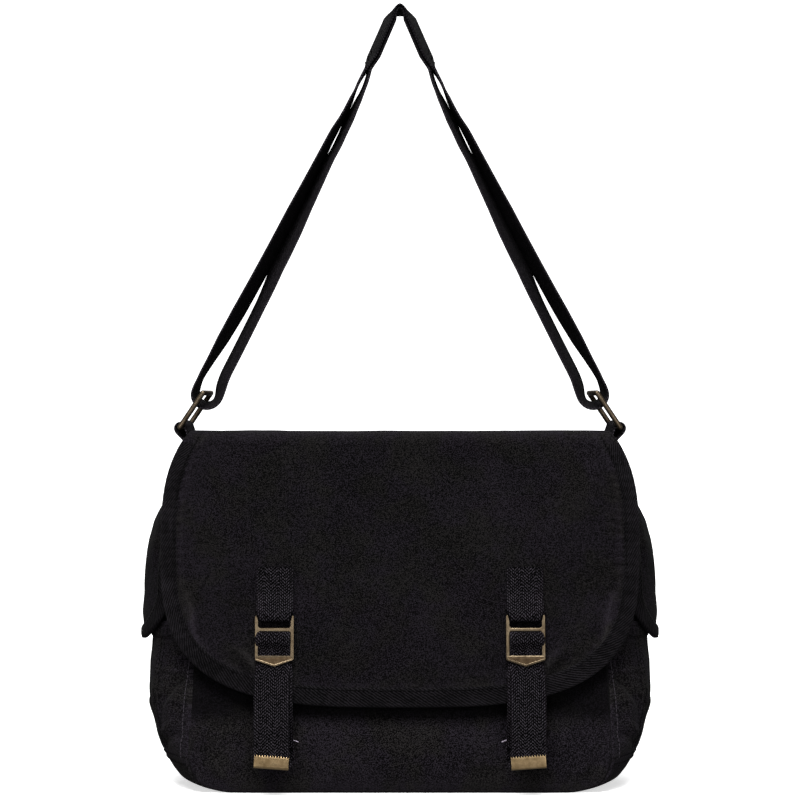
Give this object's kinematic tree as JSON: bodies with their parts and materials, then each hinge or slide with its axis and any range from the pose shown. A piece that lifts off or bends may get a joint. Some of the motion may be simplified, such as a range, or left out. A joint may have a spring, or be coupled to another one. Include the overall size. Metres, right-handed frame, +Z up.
{
  "type": "messenger bag",
  "caption": "Canvas messenger bag with a tape-bound front flap, two buckled webbing closures, gusset side flaps and a webbing shoulder strap hung on metal rings.",
  "frame": {"origin": "middle of the base, on the surface that the bag stands on", "axes": "+X to the bag's right seen from the front, the front faces -Y, +Z up"},
  "size_m": [0.3928, 0.1422, 0.5878],
  "materials": {
    "canvas": "washed black cotton canvas, matt, slightly faded on seams and folds",
    "webbing": "black cotton webbing with a herringbone weave",
    "tape": "black herringbone twill tape",
    "lining": "plain dark grey cotton lining",
    "antique_brass": "stamped antique brass, rubbed bright on its edges"
  },
  "bodies": {
    "bag": {"front_panel": "canvas", "back_panel": "canvas", "base_panel": "canvas", "gusset_left": "canvas", "gusset_right": "canvas", "mouth_binding": "tape", "bag_lining": "lining", "side_pocket_left": "canvas", "side_pocket_right": "canvas", "ring_tab_left": "webbing", "ring_tab_right": "webbing", "strap_anchor_left": "webbing", "strap_anchor_right": "webbing"},
    "side_flap_l": {"side_flap_left": "canvas", "side_flap_binding_left": "tape"},
    "side_flap_r": {"side_flap_right": "canvas", "side_flap_binding_right": "tape"},
    "flap_back_half": {"flap_top": "canvas", "flap_lining_top": "lining", "flap_binding_top": "tape"},
    "flap_front_half": {"flap_front": "canvas", "flap_lining_front": "lining", "flap_binding_front": "tape", "flap_strap_left": "webbing", "flap_strap_right": "webbing"},
    "buckle_l": {"buckle_frame_left": "antique_brass"},
    "buckle_r": {"buckle_frame_right": "antique_brass"},
    "closure_l": {"buckle_slide_left": "antique_brass", "closure_strap_left": "webbing", "strap_tip_left": "antique_brass"},
    "closure_r": {"buckle_slide_right": "antique_brass", "closure_strap_right": "webbing", "strap_tip_right": "antique_brass"},
    "shoulder_strap": {"shoulder_strap_left": "webbing", "shoulder_strap_right": "webbing", "shoulder_strap_crown": "webbing"},
    "ring_l": {"ring_left": "antique_brass"},
    "ring_r": {"ring_right": "antique_brass"}
  },
  "joints": [
    {"name": "flap_hinge", "type": "hinge", "parent": "bag", "child": "flap_back_half", "pos_m": [0, 0.0365, 0.259], "axis": [-1, 0, 0], "range_deg": [0, 225], "deforming": ["flap_top", "flap_lining_top", "flap_binding_top", "flap_front", "flap_lining_front", "flap_binding_front", "flap_strap_left", "flap_strap_right"]},
    {"name": "flap_fold", "type": "hinge", "parent": "flap_back_half", "child": "flap_front_half", "pos_m": [0, -0.04501, 0.26519], "axis": [-1, 0, 0], "range_deg": [0, 90]},
    {"name": "side_flap_l_hinge", "type": "hinge", "parent": "bag", "child": "side_flap_l", "pos_m": [-0.16607, 0, 0.2296], "axis": [0, 1, 0], "range_deg": [0, 110]},
    {"name": "buckle_l_pivot", "type": "hinge", "parent": "flap_front_half", "child": "buckle_l", "pos_m": [-0.0915, -0.06978, 0.12926], "axis": [-1, 0, 0], "range_deg": [0, 45]},
    {"name": "closure_l_slide", "type": "slide", "parent": "buckle_l", "child": "closure_l", "axis": [0, -0.1219, -0.9925], "range_m": [0, 0.003]},
    {"name": "side_flap_r_hinge", "type": "hinge", "parent": "bag", "child": "side_flap_r", "pos_m": [0.16607, 0, 0.2296], "axis": [0, -1, 0], "range_deg": [0, 110]},
    {"name": "buckle_r_pivot", "type": "hinge", "parent": "flap_front_half", "child": "buckle_r", "pos_m": [0.0915, -0.06978, 0.12926], "axis": [-1, 0, 0], "range_deg": [0, 45]},
    {"name": "closure_r_slide", "type": "slide", "parent": "buckle_r", "child": "closure_r", "axis": [0, -0.1219, -0.9925], "range_m": [0, 0.003]},
    {"name": "strap_swing", "type": "hinge", "parent": "bag", "child": "shoulder_strap", "pos_m": [0, 0, 0.26935], "axis": [1, 0, 0], "range_deg": [-35, 35], "deforming": ["ring_tab_left", "ring_tab_right"]},
    {"name": "ring_l_pivot", "type": "hinge", "parent": "shoulder_strap", "child": "ring_l", "pos_m": [-0.16526, 0.00045, 0.26935], "axis": [-0.0523, -0.9986, 0], "range_deg": [-8, 5]},
    {"name": "ring_r_pivot", "type": "hinge", "parent": "shoulder_strap", "child": "ring_r", "pos_m": [0.16526, 0.00045, 0.26935], "axis": [-0.0523, 0.9986, 0], "range_deg": [-8, 5]}
  ],
  "couplings": [
    {"joint": "flap_fold", "follows": "flap_hinge", "ratio": 0.4}
  ]
}
